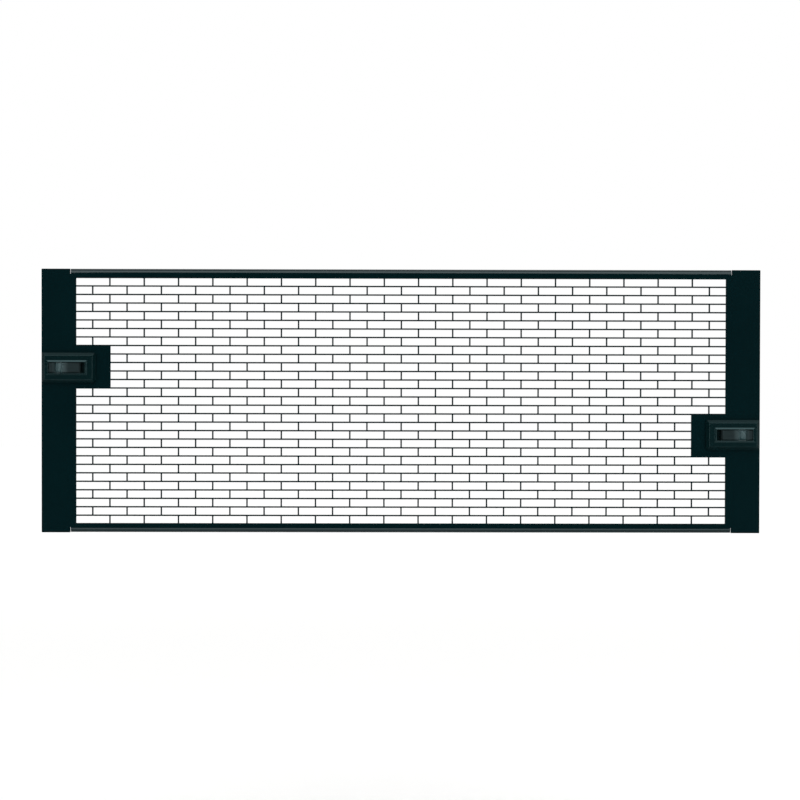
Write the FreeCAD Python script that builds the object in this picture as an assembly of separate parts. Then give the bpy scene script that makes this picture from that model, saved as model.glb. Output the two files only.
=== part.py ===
import FreeCAD, Part
import math
import os

from FreeCAD import Vector

# A vented blanking panel for a 19 inch rack, held by two spring latches instead of screws.
# Millimetres. +X right, +Y towards the rack, +Z up. The rail plane, which is the rear face
# of the ears, is Y = 0, and the origin is at the middle of the panel on that plane.

# The rack standard
rack_unit = 44.45
unit_count = 4
height_allowance = 0.8      # a panel is this much lower than its rack units
panel_width = 482.6
rail_hole_inset = 8.75      # side edge of the panel to the middle of the rail's hole
rail_hole_size = 9.5        # square
rail_hole_rise = 22.225     # rack unit's edge to its middle hole
rail_cover = 16.3           # how far in from the side edge the rail's face reaches

# The folded sheet
sheet = 1.5
bend_radius = 1.5           # inside
flange_depth = 15.0         # overall, from the sheet's front face
flange_inset = 19.3         # side edge of the panel to the flange's end
flange_corner = 2.0
relief_width = 0.2
relief_depth = 0.5
ear_corner = 0.5

# The brick pattern
slot_length = 22.0
slot_height = 4.7
web = 1.0
side_border = 23.0          # least width left unpunched at each side
edge_border = 6.3           # least height left unpunched at the top and the bottom
block_rows = 5              # rows left out behind a latch

# The latch's bezel
cutout_start = 3.2          # side edge of the panel to the cut-out in the sheet
cutout_height = 16.8
bezel_width = 20.0
bezel_inset = 0.3           # side edge of the panel to the bezel
bezel_lap = 1.1             # of the bezel's inner end over the sheet
bezel_height = 4.0
bezel_bevel = 2.0
bezel_corner = 1.5
bezel_skin = 1.6
bezel_end_wall = 3.7        # bezel's outer end to the slider's stop
window_inset = 4.6          # bezel's outer end to the window
window_margin = 6.9         # window to the bezel's inner end
window_length = 24.5
window_height = 7.4
window_corner = 0.6
rim_width = 1.2
rim_crest = 0.2             # flat left along the top of the rim
rim_height = 0.6
skirt_wall = 1.2
snap_length = 8.0
snap_hook = 0.7
snap_rise = 1.6

# The latch's slider
slider_travel = 3.5
plate_lap = 0.7             # of the plate beyond the thumb-piece's inner end
plate_overlap = 3.05        # how far the plate reaches behind the window's long edges
thumb_gap = 0.4             # window's end to the thumb-piece, at both ends of its travel
thumb_low = 4.0             # heights above the sheet's front face
thumb_crest = 6.2
thumb_tail = 4.2
crest_place = 6.7           # thumb-piece's outer end to its crest
crest_radius = 4.2
push_slope = 40.0           # degrees, where the push face meets the crest
fall_slope = 22.0           # degrees, where the long fall leaves the crest
thumb_edge = 0.4
stem_thickness = 2.4
stem_width = 4.0
stem_inset = 1.6            # hole's outer edge to the stem
hook_grip = 2.6             # how far the hook reaches behind the rail
rail_thickness = 2.0
hook_slack = 0.5
hook_draw = 0.4             # slope of the hook's face over its length
hook_tip = 0.9
hook_depth = 3.9
tail_thickness = 2.2
tail_depth = 6.8            # behind the rail plane

# The latch's retainer
lug_height = 4.0
lug_taper = 0.6
retainer_start = 17.0       # side edge of the panel to the part behind the sheet
retainer_flange = 1.2
flange_reach = 2.3          # beyond the cut-out's inner end
retainer_corner = 2.0
pocket_wall = 1.2
pocket_height = 7.8         # inside, across the latch
pocket_depth = 7.6          # inside, behind the rail plane
pocket_back = 1.0
back_slot_height = 3.2

# The latch's spring
spring_strip = 0.4
spring_width = 5.4
spring_bends = 3
spring_seat_gap = 0.1

# Clearances
seat_gap = 0.15             # a moulding in the sheet's cut-out
nest_gap = 0.1              # a moulding in another moulding
run_gap = 0.3               # the slider in its guides
lug_gap = 0.1               # a lug in the rail's hole, each side

panel_height = unit_count * rack_unit - height_allowance
side_edge = panel_width / 2
top_edge = panel_height / 2
outer_bend = bend_radius + sheet
bend_line = top_edge - outer_bend
flange_end = side_edge - flange_inset
flange_edge = flange_depth - sheet
slot_pitch = slot_length + web
row_pitch = slot_height + web
latch_rise = rail_hole_rise + (unit_count % 2) * rack_unit / 2

front = -sheet
bezel_face = front - bezel_height
cavity_face = bezel_face + bezel_skin
plate_face = cavity_face + run_gap
plate_back = front - run_gap
hole_start = rail_hole_inset - rail_hole_size / 2
window_start = bezel_inset + window_inset
window_end = window_start + window_length
bezel_end = window_end + window_margin
cutout_end = bezel_end - bezel_lap
half_cutout = cutout_height / 2
half_window = window_height / 2
half_skirt = half_cutout - seat_gap
half_nest = half_skirt - skirt_wall
half_plate = half_window + plate_overlap
half_retainer = half_nest - nest_gap
stop = bezel_inset + bezel_end_wall
thumb_start = window_start + thumb_gap
thumb_end = window_end - slider_travel - thumb_gap
half_thumb = half_window - run_gap - nest_gap
stem_start = hole_start + stem_inset
stem_end = stem_start + stem_thickness
tail_start = retainer_start + pocket_wall + run_gap
tail_end = tail_start + tail_thickness
nest_end = cutout_end - seat_gap - skirt_wall
plate_end = nest_end - nest_gap
pocket_end = plate_end - pocket_wall / 2
half_slot = stem_width / 2 + run_gap


def edge_line(a, b):
    return Part.LineSegment(a, b).toShape()


def edge_arc(a, middle, b):
    return Part.Arc(a, middle, b).toShape()


def closed_lines(points):
    return [edge_line(a, b) for a, b in zip(points, points[1:] + points[:1])]


def outline(x0, x1, z0, z1, y, radius=0.0):
    """A rectangle across Y as a wire, with rounded corners if a radius is given."""
    if not radius:
        corners = ((x0, z0), (x1, z0), (x1, z1), (x0, z1))
        return Part.Wire(closed_lines([Vector(x, y, z) for x, z in corners]))
    inset = radius * (1 - math.sqrt(0.5))
    arcs = []
    for x, z, sx, sz in ((x1, z0, -1, 1), (x1, z1, -1, -1), (x0, z1, 1, -1), (x0, z0, 1, 1)):
        along_x = Vector(x + sx * radius, y, z)
        along_z = Vector(x, y, z + sz * radius)
        middle = Vector(x + sx * inset, y, z + sz * inset)
        arcs.append((along_x, middle, along_z) if sx * sz < 0 else (along_z, middle, along_x))
    edges = []
    for arc, after in zip(arcs, arcs[1:] + arcs[:1]):
        edges += [edge_arc(*arc), edge_line(arc[2], after[0])]
    return Part.Wire(edges)


def block(x0, x1, z0, z1, y0, y1, radius=0.0):
    """A block along Y, with its four long edges rounded if a radius is given."""
    return Part.Face(outline(x0, x1, z0, z1, y0, radius)).extrude(Vector(0, y1 - y0, 0))


def both_ways(shape):
    """A latch feature and its mirror image below the middle of the latch."""
    return [shape, shape.mirror(Vector(), Vector(0, 0, 1))]


def plan_solid(edges, half_width):
    """A closed outline in the plane Z = 0, given the same thickness up and down."""
    face = Part.Face(Part.Wire(edges))
    face.translate(Vector(0, 0, -half_width))
    return face.extrude(Vector(0, 0, 2 * half_width))


def bend(side, radius):
    """One bend of the channel, from the front sheet to the flange at that side."""
    centre = Vector(0, front + outer_bend, side * bend_line)
    slant = radius * math.sqrt(0.5)
    return [
        centre + Vector(0, -radius, 0),
        centre + Vector(0, -slant, side * slant),
        centre + Vector(0, 0, side * radius),
    ]


def channel():
    """The middle of the sheet with both flanges, as one bent section."""
    top_out, top_in = bend(1, outer_bend), bend(1, bend_radius)
    low_out, low_in = bend(-1, outer_bend), bend(-1, bend_radius)
    top_lip = [Vector(0, flange_edge, top_edge), Vector(0, flange_edge, top_edge - sheet)]
    low_lip = [Vector(0, flange_edge, -top_edge + sheet), Vector(0, flange_edge, -top_edge)]
    edges = [edge_arc(*arc) for arc in (top_out, top_in, low_out, low_in)]
    for stops in (
        [top_out[2]] + top_lip + [top_in[2]],
        [top_in[0], low_in[0]],
        [low_in[2]] + low_lip + [low_out[2]],
        [low_out[0], top_out[0]],
    ):
        edges += [edge_line(a, b) for a, b in zip(stops, stops[1:])]
    section = Part.Face(Part.Wire(Part.__sortEdges__(edges)))
    section.translate(Vector(-flange_end, 0, 0))
    return section.extrude(Vector(2 * flange_end, 0, 0))


def ear():
    """The right ear: the strip that lies on the rail, and the rest up to the flange's end."""
    rail_edge = side_edge - rail_cover
    strip = block(rail_edge - ear_corner, side_edge, -top_edge, top_edge, front, 0, ear_corner)
    strip = strip.common(block(rail_edge, side_edge, -top_edge, top_edge, front, 0))
    return [strip, block(flange_end, rail_edge, -top_edge, top_edge, front, 0)]


def flange_end_cuts():
    """What the right end of the top flange loses: the relief slit and the free corner."""
    end = flange_end - relief_width
    slit = block(end, flange_end, bend_line - relief_depth, top_edge, front, flange_edge)
    corner = Vector(end, flange_edge, bend_line)
    centre = corner - Vector(flange_corner, flange_corner, 0)
    slant = flange_corner * math.sqrt(0.5)
    arc = [
        centre + Vector(flange_corner, 0, 0),
        centre + Vector(slant, slant, 0),
        centre + Vector(0, flange_corner, 0),
    ]
    outside = [edge_arc(*arc), edge_line(arc[2], corner), edge_line(corner, arc[0])]
    return [slit, Part.Face(Part.Wire(outside)).extrude(Vector(0, 0, outer_bend))]


def slot_places():
    """(x0, x1, z0) of every slot. Full and staggered rows take turns, full ones outermost."""
    columns = math.floor((panel_width - 2 * side_border + web) / slot_pitch)
    rows = math.floor((panel_height - 2 * edge_border + web) / row_pitch)
    rows -= 1 - rows % 2
    half_field = (columns * slot_pitch - web) / 2
    lowest = -(rows * row_pitch - web) / 2
    block_edge = half_field - slot_pitch
    latch_row = round((latch_rise - lowest - slot_height / 2) / row_pitch)
    for row in range(rows):
        shift = slot_pitch / 2 * (row % 2)
        left, right = -half_field, half_field
        if abs(row - latch_row) <= block_rows // 2:
            left = -block_edge
        if abs(rows - 1 - row - latch_row) <= block_rows // 2:
            right = block_edge
        for column in range(columns + row % 2):
            start = -half_field - shift + column * slot_pitch
            x0, x1 = max(start, left), min(start + slot_length, right)
            if x1 - x0 > web:
                yield x0, x1, lowest + row * row_pitch


def panel():
    plane_x, plane_z = Vector(1, 0, 0), Vector(0, 0, 1)
    ears = ear()
    shape = channel().fuse(ears + [part.mirror(Vector(), plane_x) for part in ears])
    cuts = flange_end_cuts()
    cuts += [cut.mirror(Vector(), plane_x) for cut in cuts]
    cuts += [cut.mirror(Vector(), plane_z) for cut in cuts]
    cutout = block(cutout_start, cutout_end, -half_cutout, half_cutout, front, 0)
    cuts += [place(cutout, side) for side in (-1, 1)]
    cuts += [block(x0, x1, z0, z0 + slot_height, front, 0) for x0, x1, z0 in slot_places()]
    return shape.cut(Part.makeCompound(cuts))


# The latch is modelled on the left side, with X from the panel's side edge and Z from the
# hole's middle.

def place(shape, side):
    """Move a latch part to its side. The panel looks the same turned by half a turn."""
    shape = shape.copy()
    shape.translate(Vector(-side_edge, 0, latch_rise))
    if side > 0:
        shape.rotate(Vector(), Vector(0, 1, 0), 180)
    return shape


def snap_arm():
    """One arm of the bezel, hooked over the retainer's flange."""
    catch = retainer_flange + nest_gap
    tip = catch + snap_rise
    points = [
        (0, half_nest), (0, half_skirt), (catch, half_skirt), (catch, half_skirt + snap_hook),
        (tip, half_nest + skirt_wall / 2), (tip, half_nest),
    ]
    start = (retainer_start + cutout_end - snap_length) / 2
    face = Part.Face(Part.Wire(closed_lines([Vector(start, y, z) for y, z in points])))
    return face.extrude(Vector(snap_length, 0, 0))


def bevelled(shape, size):
    """A bevel along all the foremost edges of a block."""
    face = shape.BoundBox.YMin
    return shape.makeChamfer(size, [e for e in shape.Edges if e.BoundBox.YMax < face + 0.01])


def window_frame(margin, y):
    """A rectangle round the window with that margin, as a wire."""
    half = half_window + margin
    return outline(window_start - margin, window_end + margin, -half, half, y)


def bezel():
    x0, x1, half = bezel_inset, bezel_end, bezel_width / 2
    rim_face = bezel_face - rim_height
    cover = bevelled(block(x0, x1, -half, half, bezel_face, front), bezel_bevel)
    cover = cover.common(block(x0, x1, -half, half, bezel_face, front, bezel_corner))
    rim_frames = [window_frame(rim_width, bezel_face), window_frame(rim_crest, rim_face)]
    rim = Part.makeLoft(rim_frames, True, True)
    skirt = block(
        cutout_start + seat_gap, cutout_end - seat_gap, -half_skirt, half_skirt, front, 0,
    )
    window = block(
        window_start, window_end, -half_window, half_window, rim_face, cavity_face,
        window_corner,
    )
    cavity = block(stop, nest_end, -half_nest, half_nest, cavity_face, front)
    nest = block(0, nest_end, -half_nest, half_nest, front, 0)
    shape = cover.fuse([rim, skirt]).cut([window, cavity, nest])
    return shape.fuse(both_ways(snap_arm())).removeSplitter()


def lean_arc(a, b, lean):
    """An arc from a to b whose ends lean from its chord by that many radians, to the left."""
    chord = b - a
    rise = chord.Length / 2 * math.tan(lean / 2)
    left = Vector(-chord.y, chord.x, 0).normalize()
    return edge_arc(a, (a + b) / 2 + left * rise, b)


def slope(a, b):
    return math.atan2(a.y - b.y, b.x - a.x)


def thumb_piece():
    """The part under the thumb: a scooped push face, a rounded crest and a long fall inwards."""
    x0, x1 = thumb_start, thumb_end
    crest = Vector(x0 + crest_place, front - thumb_crest, 0)
    centre = crest + Vector(0, crest_radius, 0)
    push, fall = math.radians(push_slope), math.radians(fall_slope)
    brow = centre + Vector(-math.sin(push), -math.cos(push), 0) * crest_radius
    shoulder = centre + Vector(math.sin(fall), -math.cos(fall), 0) * crest_radius
    foot, toe = Vector(x0, front - thumb_low, 0), Vector(x1, front - thumb_tail, 0)
    edges = [
        lean_arc(foot, brow, push - slope(foot, brow)),
        edge_arc(brow, crest, shoulder),
        lean_arc(shoulder, toe, fall + slope(shoulder, toe)),
    ]
    corners = [toe, Vector(x1, plate_face, 0), Vector(x0, plate_face, 0), foot]
    edges += [edge_line(a, b) for a, b in zip(corners, corners[1:])]
    solid = plan_solid(edges, half_thumb)
    long_edges = [
        edge for edge in solid.Edges
        if edge.BoundBox.ZLength < thumb_edge and edge.Curve.TypeId == "Part::GeomCircle"
    ]
    return solid.makeChamfer(thumb_edge, long_edges)


def hook():
    """The stem through the rail's hole, with its hook behind the rail's outer edge."""
    tip = hole_start - hook_grip
    seat = rail_thickness + hook_slack
    points = [
        (stem_end, plate_back), (stem_end, seat + hook_depth),
        (stem_start + hook_tip, seat + hook_depth), (tip, seat + hook_draw + hook_tip),
        (tip, seat + hook_draw), (stem_start, seat), (stem_start, plate_back),
    ]
    return plan_solid(closed_lines([Vector(x, y, 0) for x, y in points]), stem_width / 2)


def slider():
    plate = block(stop, thumb_end + plate_lap, -half_plate, half_plate, plate_face, plate_back)
    half_tail = stem_width / 2
    tail = block(tail_start, tail_end, -half_tail, half_tail, plate_back, tail_depth)
    return plate.fuse([thumb_piece(), hook(), tail]).removeSplitter()


def lug():
    """The upper of the two lugs that fill the rail's square hole on each side of the hook."""
    x0, x1 = hole_start + lug_gap, hole_start + rail_hole_size - lug_gap
    shape = block(x0, x1, half_slot, rail_hole_size / 2 - lug_gap, 0, lug_height)
    lead_in = [e for e in shape.Edges if e.BoundBox.YMin > lug_height - lug_taper]
    return shape.makeChamfer(lug_taper, lead_in)


def retainer():
    half_box = pocket_height / 2 + pocket_wall
    half_flange = bezel_width / 2
    box_back = pocket_depth + pocket_back
    plate = block(
        cutout_start + seat_gap, plate_end, -half_retainer, half_retainer, front, 0
    )
    flange = block(
        retainer_start, cutout_end + flange_reach, -half_flange, half_flange,
        0, retainer_flange, retainer_corner,
    )
    box = block(retainer_start, pocket_end + pocket_wall, -half_box, half_box, 0, box_back)
    slot = block(
        stem_start - run_gap, tail_end + slider_travel + run_gap, -half_slot, half_slot,
        front, 0,
    )
    pocket_start = retainer_start + pocket_wall
    half_pocket = pocket_height / 2
    pocket = block(pocket_start, pocket_end, -half_pocket, half_pocket, 0, pocket_depth)
    half_back = back_slot_height / 2
    back_slot = block(
        tail_start, pocket_end - pocket_wall, -half_back, half_back, pocket_depth, box_back
    )
    arm = snap_arm().BoundBox
    notch = block(
        arm.XMin - nest_gap, arm.XMax + nest_gap, half_nest, half_skirt + nest_gap,
        0, retainer_flange,
    )
    shape = plate.fuse([flange, box] + both_ways(lug()))
    return shape.cut([slot, pocket, back_slot] + both_ways(notch)).removeSplitter()


def half_ring(x, z, inner, outer, up):
    """One bend of the spring about (x, z), open downwards or upwards."""
    ends = [Vector(x + r, 0, z) for r in (-outer, outer, inner, -inner)]
    face = Part.Face(Part.Wire([
        edge_arc(ends[0], Vector(x, 0, z + up * outer), ends[1]),
        edge_line(ends[1], ends[2]),
        edge_arc(ends[2], Vector(x, 0, z + up * inner), ends[3]),
        edge_line(ends[3], ends[0]),
    ]))
    return face.extrude(Vector(0, spring_width, 0))


def spring():
    """A strip bent to and fro between the slider's tail and the pocket's inner wall."""
    x0, x1 = tail_end + spring_seat_gap, pocket_end - spring_seat_gap
    pitch = (x1 - x0 - spring_strip) / spring_bends
    inner, outer = (pitch - spring_strip) / 2, (pitch + spring_strip) / 2
    reach = pocket_height / 2 - run_gap - outer
    shapes = []
    for run in range(spring_bends + 1):
        x = x0 + run * pitch
        shapes.append(block(x, x + spring_strip, -reach, reach, 0, spring_width))
    for turn in range(spring_bends):
        up = 1 - 2 * (turn % 2)
        middle = x0 + turn * pitch + (pitch + spring_strip) / 2
        shapes.append(half_ring(middle, up * reach, inner, outer, up))
    shape = shapes[0].fuse(shapes[1:]).removeSplitter()
    shape.translate(Vector(0, (pocket_depth - spring_width) / 2, 0))
    return shape


def main():
    os.makedirs("parts", exist_ok=True)
    shapes = {"panel": panel()}
    makers = {"bezel": bezel, "slider": slider, "retainer": retainer, "spring": spring}
    for name, make in makers.items():
        shape = make()
        shapes["left_latch_" + name] = place(shape, -1)
        shapes["right_latch_" + name] = place(shape, 1)
    for name, shape in shapes.items():
        solids = shape.Solids
        print(name, len(solids), "solid", round(shape.Volume, 1), "mm3", shape.isValid())
        solids[0].exportStep(os.path.join("parts", name + ".step"))


main()
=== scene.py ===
import math

import bmesh
import bpy
from mathutils import Matrix, Vector


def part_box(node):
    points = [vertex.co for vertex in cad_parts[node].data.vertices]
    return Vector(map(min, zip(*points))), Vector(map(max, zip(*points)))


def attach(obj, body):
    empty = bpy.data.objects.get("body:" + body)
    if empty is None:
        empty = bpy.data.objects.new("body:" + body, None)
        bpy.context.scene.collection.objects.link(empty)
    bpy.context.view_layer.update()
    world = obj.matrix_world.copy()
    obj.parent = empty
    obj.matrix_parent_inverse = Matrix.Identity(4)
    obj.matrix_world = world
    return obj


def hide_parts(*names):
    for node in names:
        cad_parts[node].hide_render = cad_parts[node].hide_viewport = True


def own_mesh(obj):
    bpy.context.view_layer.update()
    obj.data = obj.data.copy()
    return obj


# A vented 4U rack panel with two spring latches.
# The sheet and the mouldings come from the CAD frame; the springs are made here.

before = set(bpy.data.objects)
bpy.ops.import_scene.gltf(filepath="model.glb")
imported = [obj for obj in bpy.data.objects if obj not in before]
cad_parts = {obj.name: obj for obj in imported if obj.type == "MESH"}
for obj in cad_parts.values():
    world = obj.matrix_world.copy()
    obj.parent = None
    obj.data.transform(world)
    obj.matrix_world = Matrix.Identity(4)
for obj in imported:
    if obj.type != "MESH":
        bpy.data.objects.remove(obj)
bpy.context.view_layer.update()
mm = 0.001
white = (1.0, 1.0, 1.0)
sides = {"left": 1.0, "right": -1.0}  # the way each slider is pushed, along X


def addObject(name, data):
    placed = bpy.data.objects.new(name, data)
    bpy.context.scene.collection.objects.link(placed)
    return placed


# Camera: a long lens nearly square on to the panel

cameraView = {
    "lens": 135.0,
    "distance": 2.0168,  # from the target
    "azimuth": 0.662,  # degrees, looking a little to the right
    "elevation": 1.293,  # degrees, looking a little down
    "roll": 0.116,  # degrees
    "target": (-0.8 * mm, 0.0, 0.78 * mm),
}


def makeCamera():
    azimuth = math.radians(cameraView["azimuth"])
    elevation = math.radians(cameraView["elevation"])
    forward = Vector((
        math.sin(azimuth) * math.cos(elevation),
        math.cos(azimuth) * math.cos(elevation),
        -math.sin(elevation),
    ))
    data = bpy.data.cameras.new("camera")
    data.lens = cameraView["lens"]
    camera = addObject("camera", data)
    turn = forward.to_track_quat("-Z", "Y").to_matrix().to_4x4()
    roll = Matrix.Rotation(math.radians(cameraView["roll"]), 4, "Z")
    place = Matrix.Translation(Vector(cameraView["target"]) - forward * cameraView["distance"])
    camera.matrix_world = place @ turn @ roll
    bpy.context.scene.camera = camera


# Material helpers

noiseRange = (0.3, 0.7)  # where most of a noise texture lies
mixSockets = {"FLOAT": (2, 3, 0), "RGBA": (6, 7, 2)}  # places of A, B and the result


def newMaterial(name):
    material = bpy.data.materials.new(name)
    material.use_nodes = True
    return material, material.node_tree.nodes["Principled BSDF"]


def feed(node, values):  # each with another node's output, a colour, a vector or a number
    for name, value in values.items():
        socket = node.inputs[name]
        if isinstance(value, bpy.types.NodeSocket):
            node.id_data.links.new(value, socket)
        else:
            socket.default_value = (*value, 1.0) if socket.type == "RGBA" else value


def addNode(tree, kind, values, **settings):
    node = tree.nodes.new(kind)
    for setting, value in settings.items():
        setattr(node, setting, value)
    feed(node, values)
    return node.outputs


def maths(tree, operation, *values):
    return addNode(tree, "ShaderNodeMath", dict(enumerate(values)), operation=operation)["Value"]


def objectCoords(tree):
    return addNode(tree, "ShaderNodeTexCoord", {})["Object"]


def noise(tree, coords, size, detail=2.0, roughness=0.5):
    values = {"Vector": coords, "Scale": 1 / size, "Detail": detail, "Roughness": roughness}
    return addNode(tree, "ShaderNodeTexNoise", values)["Fac"]


def mapRange(tree, value, low, high, start=noiseRange[0], end=noiseRange[1]):
    ends = {"From Min": start, "From Max": end, "To Min": low, "To Max": high}
    return addNode(tree, "ShaderNodeMapRange", {"Value": value, **ends})["Result"]


def blend(tree, kind, factor, first, second):
    a, b, result = mixSockets[kind]
    return addNode(tree, "ShaderNodeMix", {0: factor, a: first, b: second}, data_type=kind)[result]


def speckle(tree, pattern, look):  # the look's two colours, in the pattern of a noise
    share = mapRange(tree, pattern, 0.0, 1.0)
    return blend(tree, "RGBA", share, look["deepColour"], look["colour"])


def addBumps(tree, shader, layers):  # layers are pairs of a height and its depth in metres
    normal = None
    for height, depth in layers:
        values = {"Strength": 1.0, "Distance": depth, "Height": height}
        if normal:
            values["Normal"] = normal
        normal = addNode(tree, "ShaderNodeBump", values)["Normal"]
    feed(shader, {"Normal": normal})


# Edge rounding, the same on every moulding and on the sheet

rounding = {
    "weldGap": 0.001 * mm,  # joins the faces that come apart in the frame
    "sharpAngle": 30.0,  # degrees
    "segments": 3,
}


def roundEdges(piece, width):
    weld = piece.modifiers.new("weld", "WELD")
    weld.merge_threshold = rounding["weldGap"]
    bevel = piece.modifiers.new("bevel", "BEVEL")
    bevel.width = width
    bevel.segments = rounding["segments"]
    bevel.limit_method = "ANGLE"
    bevel.angle_limit = math.radians(rounding["sharpAngle"])
    bevel.use_clamp_overlap = False
    bevel.harden_normals = True


def finishNode(name, material, edgeRound):
    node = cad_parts[name]
    node.material_slots[0].material = material
    roundEdges(node, edgeRound)


# Panel: folded steel sheet, powder coated

panelLook = {
    "colour": (0.0002, 0.0054, 0.0065),
    "deepColour": (0.0001, 0.0046, 0.0056),
    "glossTint": (0.82, 0.97, 1.0),
    "refraction": 1.5,
    "roughness": (0.11, 0.15),  # from speck to speck
    "patchSize": 40.0 * mm,  # of the two colours
    "peelSize": 1.3 * mm,  # the coat's fine orange peel
    "peelDepth": 0.006 * mm,
    "speckSize": 0.35 * mm,
    "speckDepth": 0.002 * mm,
    "edgeRound": 0.06 * mm,
}


def makePowderCoat():
    look = panelLook
    material, shader = newMaterial("powderCoat")
    tree = material.node_tree
    coords = objectCoords(tree)
    patches = noise(tree, coords, look["patchSize"], detail=3.0)
    peel = noise(tree, coords, look["peelSize"], detail=3.0)
    specks = noise(tree, coords, look["speckSize"])
    feed(shader, {
        "Base Color": speckle(tree, patches, look),
        "Roughness": mapRange(tree, specks, *look["roughness"]),
        "Specular Tint": look["glossTint"],
        "IOR": look["refraction"],
    })
    addBumps(tree, shader, [(peel, look["peelDepth"]), (specks, look["speckDepth"])])
    return material


# Latch mouldings

bezelLook = {
    "colour": (0.0005, 0.0058, 0.0065),
    "deepColour": (0.0004, 0.0050, 0.0057),
    "glossTint": (0.58, 0.96, 1.0),
    "refraction": 1.5,
    "roughness": (0.16, 0.21),
    "grainSize": 0.30 * mm,  # spark-eroded mould texture
    "grainDepth": 0.004 * mm,
    "flowSize": 6.0 * mm,
    "flowDepth": 0.008 * mm,
    "edgeRound": 0.10 * mm,
    "retainerEdgeRound": 0.2 * mm,
}

sliderLook = {
    "colour": (0.0014, 0.0120, 0.0134),
    "deepColour": (0.0011, 0.0104, 0.0118),
    "glossTint": (0.74, 0.97, 1.0),
    "refraction": 1.6,
    "roughness": (0.15, 0.21),
    "grainSize": 0.22 * mm,
    "grainDepth": 0.003 * mm,
    "flowSize": 5.0 * mm,
    "flowDepth": 0.008 * mm,
    "gripPlace": 228.5 * mm,  # from the panel's middle to the middle of the grip lines
    "gripFade": (3.0 * mm, 7.0 * mm),  # from that middle, where they start to fade and end
    "gripPitch": 0.45 * mm,
    "gripDepth": 0.019 * mm,
    "pushFade": (230.6 * mm, 234.2 * mm),  # where the coarse finish and the painted shade set in on the push face
    "fallFade": (227.4 * mm, 223.0 * mm),  # and on the long fall
    "coarseRoughness": 0.80,  # added to the roughness
    # painted shade: the push face and the long fall are coloured darker than the crest
    "paintedShadeColour": (0.0001, 0.0036, 0.0042),
    "edgeRound": 0.09 * mm,
}


def crestGripAndShade(tree, coords, look):
    # Fine upright lines over the thumb-piece's crest, and where to each side it turns coarse and
    # is painted darker as shade
    along = addNode(tree, "ShaderNodeSeparateXYZ", {"Vector": coords})["X"]
    across = maths(tree, "ABSOLUTE", along)  # the same from the middle, on both sides
    away = maths(tree, "ABSOLUTE", maths(tree, "SUBTRACT", across, look["gripPlace"]))
    fade = mapRange(tree, away, 1.0, 0.0, *look["gripFade"])
    turn = maths(tree, "MULTIPLY", along, 2 * math.pi / look["gripPitch"])
    lines = maths(tree, "MULTIPLY", maths(tree, "SINE", turn), fade)
    push = mapRange(tree, across, 0.0, 1.0, *look["pushFade"])
    fall = mapRange(tree, across, 0.0, 1.0, *look["fallFade"])
    return lines, maths(tree, "MAXIMUM", push, fall)


def makePlastic(name, look):
    material, shader = newMaterial(name)
    tree = material.node_tree
    coords = objectCoords(tree)
    flow = noise(tree, coords, look["flowSize"])
    grain = noise(tree, coords, look["grainSize"], detail=3.0, roughness=0.6)
    tone = speckle(tree, flow, look)
    roughness = mapRange(tree, grain, *look["roughness"])
    layers = [(flow, look["flowDepth"]), (grain, look["grainDepth"])]
    if "gripDepth" in look:
        lines, coarseAndShaded = crestGripAndShade(tree, coords, look)
        layers.insert(0, (lines, look["gripDepth"]))
        # painted shade: a darker colour on the push face and the long fall, where the finish is
        # also coarser
        tone = blend(tree, "RGBA", coarseAndShaded, tone, look["paintedShadeColour"])
        added = maths(tree, "MULTIPLY", coarseAndShaded, look["coarseRoughness"])
        roughness = maths(tree, "ADD", roughness, added)
    feed(shader, {
        "Base Color": tone,
        "Roughness": roughness,
        "Specular Tint": look["glossTint"],
        "IOR": look["refraction"],
    })
    addBumps(tree, shader, layers)
    return material


# Latch springs: a bright steel strip bent to and fro in the retainer's pocket

springLook = {
    "strip": 0.4 * mm,  # thickness
    "bends": 3,
    "bendSteps": 14,
    "edgeRound": 0.08 * mm,
    "edgeSegments": 3,
    "sharpAngle": 60.0,  # degrees, of the strip's own four edges
    "wallGap": 0.1 * mm,  # from the spring to the pocket's inner wall
    "colour": (0.46, 0.46, 0.47),
    "deepColour": (0.36, 0.36, 0.38),
    "roughness": (0.24, 0.38),
    "scratchSize": 0.12 * mm,
    "scratchStretch": 14.0,
    "scratchDepth": 0.002 * mm,
}


def makeSpringSteel():
    look = springLook
    material, shader = newMaterial("springSteel")
    tree = material.node_tree
    stretch = {"Vector": objectCoords(tree), "Scale": (1.0, look["scratchStretch"], 1.0)}
    coords = addNode(tree, "ShaderNodeMapping", stretch)["Vector"]
    scratches = noise(tree, coords, look["scratchSize"] * look["scratchStretch"], detail=3.0)
    feed(shader, {
        "Base Color": speckle(tree, scratches, look),
        "Roughness": mapRange(tree, scratches, *look["roughness"]),
        "Metallic": 1.0,
    })
    addBumps(tree, shader, [(scratches, look["scratchDepth"])])
    return material


def springLine(pitch, reach):
    # Points of the strip's middle line, each with the way to its left side, from the slider's
    # tail inwards and upwards
    look = springLook
    line = [((0.0, -reach), (-1.0, 0.0))]
    for turn in range(look["bends"]):
        up = 1 if turn % 2 == 0 else -1
        for step in range(look["bendSteps"] + 1):
            angle = math.pi * (1 - step / look["bendSteps"])
            along = (turn + 0.5 + 0.5 * math.cos(angle)) * pitch
            height = up * (reach + 0.5 * pitch * math.sin(angle))
            line.append(((along, height), (up * math.cos(angle), math.sin(angle))))
    line.append(((look["bends"] * pitch, -up * reach), (up, 0.0)))
    return line


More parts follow.
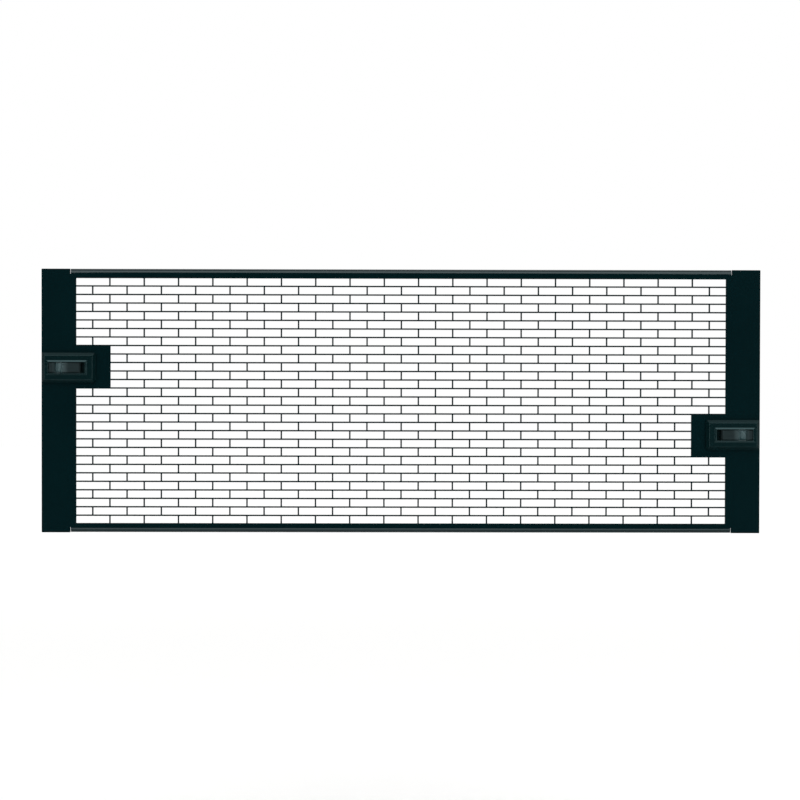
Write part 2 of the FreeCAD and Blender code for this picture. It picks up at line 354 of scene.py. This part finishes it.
def springShape(low, high, tail, way):  # fills that box, with its first leg at the tail
    look = springLook
    half = look["strip"] / 2
    pitch = (high.x - low.x - look["strip"]) / look["bends"]
    reach = (high.z - low.z - look["strip"] - pitch) / 2
    middle = (low.z + high.z) / 2
    shape = bmesh.new()
    rings = []
    for point, left in springLine(pitch, reach):
        ring = []
        for offset, y in ((-half, low.y), (half, low.y), (half, high.y), (-half, high.y)):
            x = tail + way * (half + point[0] + left[0] * offset)
            z = middle + way * (point[1] + left[1] * offset)
            ring.append(shape.verts.new((x, y, z)))
        rings.append(ring)
    for first, second in zip(rings, rings[1:]):
        for corner in range(4):
            after = (corner + 1) % 4
            shape.faces.new((first[corner], first[after], second[after], second[corner]))
    shape.faces.new(rings[0][::-1])
    shape.faces.new(rings[-1])
    bmesh.ops.recalc_face_normals(shape, faces=shape.faces)
    sharpAngle = math.radians(look["sharpAngle"])
    sharp = [edge for edge in shape.edges if edge.calc_face_angle(0.0) > sharpAngle]
    bmesh.ops.bevel(
        shape,
        geom=sharp,
        offset=look["edgeRound"],
        segments=look["edgeSegments"],
        affect="EDGES",
        profile=0.5,
    )
    for face in shape.faces:
        face.smooth = True
    return shape


def makeSpring(side, way, steel):
    low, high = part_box(side + "_latch_spring")
    tail, wall = (low.x, high.x) if way > 0 else (high.x, low.x)
    shape = springShape(low, high, tail, way)
    mesh = bpy.data.meshes.new(side + "Spring")
    shape.to_mesh(mesh)
    shape.free()
    mesh.materials.append(steel)
    spring = addObject(side + "Spring", mesh)
    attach(spring, "frame")
    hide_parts(side + "_latch_spring")
    wall += way * springLook["wallGap"]
    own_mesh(spring)


# Studio: soft boxes above and at each side, two low ones for the lower fold, white behind

softBoxes = {
    "frontTopBox": {"place": (0.10, -0.87, 0.97), "size": (2.4, 1.2), "radiance": 2.1},
    "overheadBox": {"place": (0.0, -0.06, 1.30), "size": (2.2, 0.45), "radiance": 0.4},
    "rightBox": {"place": (1.60, -2.55, 0.05), "size": (0.74, 1.3), "radiance": 8.0},
    "leftBox": {"place": (-1.60, -2.55, 0.05), "size": (0.74, 1.3), "radiance": 6.0},
    "lowBox": {"place": (0.0, -0.34, -0.26), "size": (1.4, 0.16), "radiance": 1.5},
    "underBox": {"place": (0.0, -0.09, -0.27), "size": (1.4, 0.09), "radiance": 0.8},
}

studio = {
    "backdrop": 1.0,  # what the camera sees round the object
    "ambient": 0.70,  # light from all round on matt surfaces
    "glossBehind": 1.0,  # what gloss shows behind the object
    "glossFront": 0.012,  # what gloss shows in front of it, round the camera
    "glossFade": (0.0, 0.5),  # where one turns into the other, along Y
    "floorDrop": 0.30,  # floor below the panel's middle
    "floorFront": 0.6,
    "floorBack": 7.0,
    "floorHalfWidth": 4.0,
    "floorColour": (0.82, 0.82, 0.81),
    "floorShade": (0.805, 0.805, 0.80),
    "floorRoughness": 0.9,
    "fibreSize": 17.0 * mm,
    "floorNear": (0.2, 2.6),  # where near turns into far
    "floorLift": (0.17, 0.46),  # extra white where the floor is seen, near and far
}


def addSoftBox(name, values):
    data = bpy.data.lights.new(name, "AREA")
    data.shape = "RECTANGLE"
    data.size, data.size_y = values["size"]
    data.energy = values["radiance"] * math.pi * data.size * data.size_y
    lamp = addObject(name, data)
    lamp.location = values["place"]
    towardsPanel = -Vector(values["place"])
    lamp.rotation_euler = towardsPanel.to_track_quat("-Z", "Y").to_euler()
    lamp.visible_camera = False


def seenRays(tree, *kinds):  # 1 for those kinds of ray, otherwise 0
    rays = addNode(tree, "ShaderNodeLightPath", {})
    total = rays[kinds[0]]
    for kind in kinds[1:]:
        total = maths(tree, "MAXIMUM", total, rays[kind])
    return total


def makeWorld():
    world = bpy.data.worlds.new("studio")
    bpy.context.scene.world = world
    world.use_nodes = True
    tree = world.node_tree
    direction = addNode(tree, "ShaderNodeTexCoord", {})["Generated"]
    inwards = addNode(tree, "ShaderNodeSeparateXYZ", {"Vector": direction})["Y"]
    levels = (studio["glossFront"], studio["glossBehind"])
    room = mapRange(tree, inwards, *levels, *studio["glossFade"])
    level = blend(tree, "FLOAT", seenRays(tree, "Is Glossy Ray"), studio["ambient"], room)
    plain = seenRays(tree, "Is Camera Ray", "Is Transmission Ray")
    level = blend(tree, "FLOAT", plain, level, studio["backdrop"])
    feed(tree.nodes["Background"], {"Strength": level, "Color": white})


def makeFloor():
    mesh = bpy.data.meshes.new("floor")
    half, front, back = studio["floorHalfWidth"], -studio["floorFront"], studio["floorBack"]
    corners = [(-half, front, 0.0), (half, front, 0.0), (half, back, 0.0), (-half, back, 0.0)]
    mesh.from_pydata(corners, [], [(0, 1, 2, 3)])
    floor = addObject("floor", mesh)
    floor.location.z = -studio["floorDrop"]
    material, shader = newMaterial("floorPaper")
    tree = material.node_tree
    coords = objectCoords(tree)
    fibres = mapRange(tree, noise(tree, coords, studio["fibreSize"], detail=4.0), 0.0, 1.0)
    seen = seenRays(tree, "Is Camera Ray", "Is Glossy Ray", "Is Transmission Ray")
    reach = addNode(tree, "ShaderNodeVectorMath", {0: coords}, operation="LENGTH")["Value"]
    lift = mapRange(tree, reach, *studio["floorLift"], *studio["floorNear"])
    feed(shader, {
        "Base Color": blend(tree, "RGBA", fibres, studio["floorShade"], studio["floorColour"]),
        "Roughness": studio["floorRoughness"],
        "Emission Color": white,
        "Emission Strength": maths(tree, "MULTIPLY", seen, lift),
    })
    mesh.materials.append(material)
    floor.visible_glossy = False  # gloss shows the dark room below, not the paper


# Everything together

bpy.context.scene.view_settings.view_transform = "Standard"
makeCamera()
makeWorld()
makeFloor()
for boxName, boxValues in softBoxes.items():
    addSoftBox(boxName, boxValues)
print("studio ready")

finishNode("panel", makePowderCoat(), panelLook["edgeRound"])
print("panel coated")

bezelPlastic = makePlastic("bezelPlastic", bezelLook)
sliderPlastic = makePlastic("sliderPlastic", sliderLook)
springSteel = makeSpringSteel()
for side, way in sides.items():
    finishNode(side + "_latch_bezel", bezelPlastic, bezelLook["edgeRound"])
    finishNode(side + "_latch_retainer", bezelPlastic, bezelLook["retainerEdgeRound"])
    finishNode(side + "_latch_slider", sliderPlastic, sliderLook["edgeRound"])
    makeSpring(side, way, springSteel)
    print(side, "latch finished")
